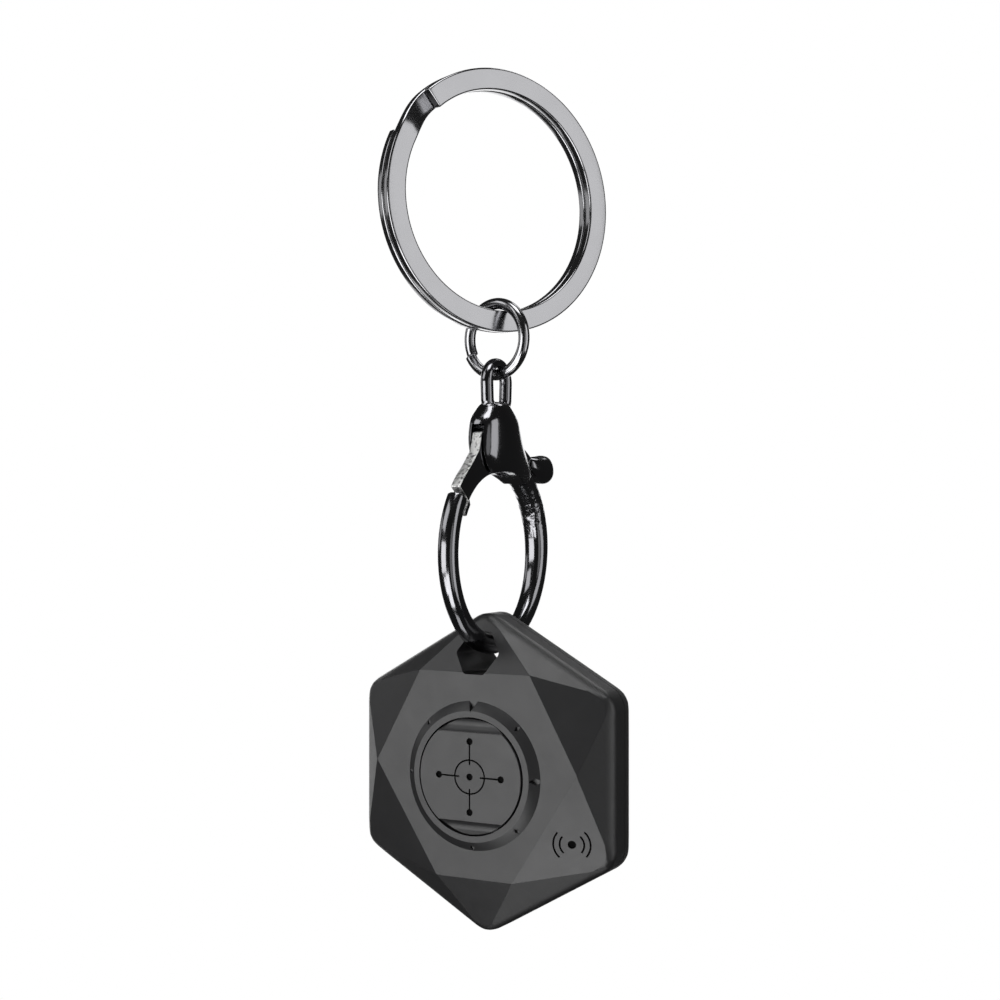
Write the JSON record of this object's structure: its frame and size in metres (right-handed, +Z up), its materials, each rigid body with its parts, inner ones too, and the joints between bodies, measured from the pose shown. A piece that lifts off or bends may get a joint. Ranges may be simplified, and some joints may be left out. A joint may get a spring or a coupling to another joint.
{
  "type": "bluetooth tracker tag",
  "caption": "Hexagonal faceted tracker tag with a round push button, hanging from a lobster clasp, a jump ring and a flat split key ring.",
  "frame": {"origin": "inside top of the split ring, where the object hangs on a hook or a key", "axes": "+Z up, the links hang down along it; +Y out of the tag's rear, so its front face looks along -Y; +X to the right seen from the front; the clasp lies in the YZ plane"},
  "size_m": [0.034, 0.0292, 0.1044],
  "materials": {
    "ring_metal": "polished black nickel plate",
    "clasp_metal": "polished black nickel plate on a zinc casting",
    "lever_metal": "black nickel plate over a rough casting",
    "pin_steel": "plain",
    "spring_steel": "drawn wire",
    "case_plastic": "satin black moulding",
    "cover_plastic": "satin black moulding",
    "seal_rubber": "soft matt",
    "button_plastic": "satin black moulding",
    "plunger_plastic": "matt",
    "switch_metal": "stamped can",
    "board_laminate": "solder resist on glass laminate",
    "chip_plastic": "moulded",
    "crystal_can": "pressed can",
    "antenna_ceramic": "fired ceramic",
    "buzzer_plastic": "moulded",
    "cell_steel": "bright nickel-plated steel",
    "contact_metal": "gold-plated spring brass",
    "screw_steel": "blackened"
  },
  "bodies": {
    "split_ring": {"split_ring": "ring_metal"},
    "jump_ring": {"jump_ring": "ring_metal"},
    "clasp": {"clasp_body": "clasp_metal", "lever_pin": "pin_steel", "lever_spring": "spring_steel"},
    "lever": {"gate_lever": "lever_metal"},
    "tag": {"front_shell": "case_plastic", "rear_shell": "case_plastic", "cover_seal": "seal_rubber", "circuit_board": "board_laminate", "bluetooth_chip": "chip_plastic", "crystal": "crystal_can", "antenna": "antenna_ceramic", "piezo_buzzer": "buzzer_plastic", "tactile_switch": "switch_metal", "coin_cell": "cell_steel", "negative_contact": "contact_metal", "positive_contact": "contact_metal", "case_screw_1": "screw_steel", "case_screw_2": "screw_steel", "case_screw_3": "screw_steel", "case_screw_4": "screw_steel"},
    "button": {"button_cap": "button_plastic", "switch_plunger": "plunger_plastic"},
    "cover": {"battery_cover": "cover_plastic"}
  },
  "joints": [
    {"name": "jump_ring_swing", "type": "hinge", "parent": "split_ring", "child": "jump_ring", "pos_m": [0, 0, -0.02585], "axis": [0.9796, -0.2011, 0], "range_deg": [-45, 45]},
    {"name": "clasp_swing", "type": "hinge", "parent": "jump_ring", "child": "clasp", "pos_m": [0, 0, -0.03455], "axis": [0.9796, -0.2011, 0], "range_deg": [-60, 60]},
    {"name": "gate_lever_turn", "type": "hinge", "parent": "clasp", "child": "lever", "pos_m": [0, 0.0008, -0.0433], "axis": [1, 0, 0], "range_deg": [0, 25], "stiffness_Nm_per_rad": 0.012, "springref_deg": -20.05, "deforming": ["lever_spring"]},
    {"name": "tag_swing", "type": "hinge", "parent": "clasp", "child": "tag", "pos_m": [0, -0.0005, -0.0673], "axis": [0, 1, 0], "range_deg": [-90, 90]},
    {"name": "button_press", "type": "slide", "parent": "tag", "child": "button", "axis": [0, 1, 0], "range_m": [0, 0.0004], "stiffness_N_per_m": 500, "springref_m": -0.002},
    {"name": "battery_cover_turn", "type": "hinge", "parent": "tag", "child": "cover", "pos_m": [0, -0.0007, -0.08422], "axis": [0, 1, 0], "range_deg": [0, 30]}
  ]
}
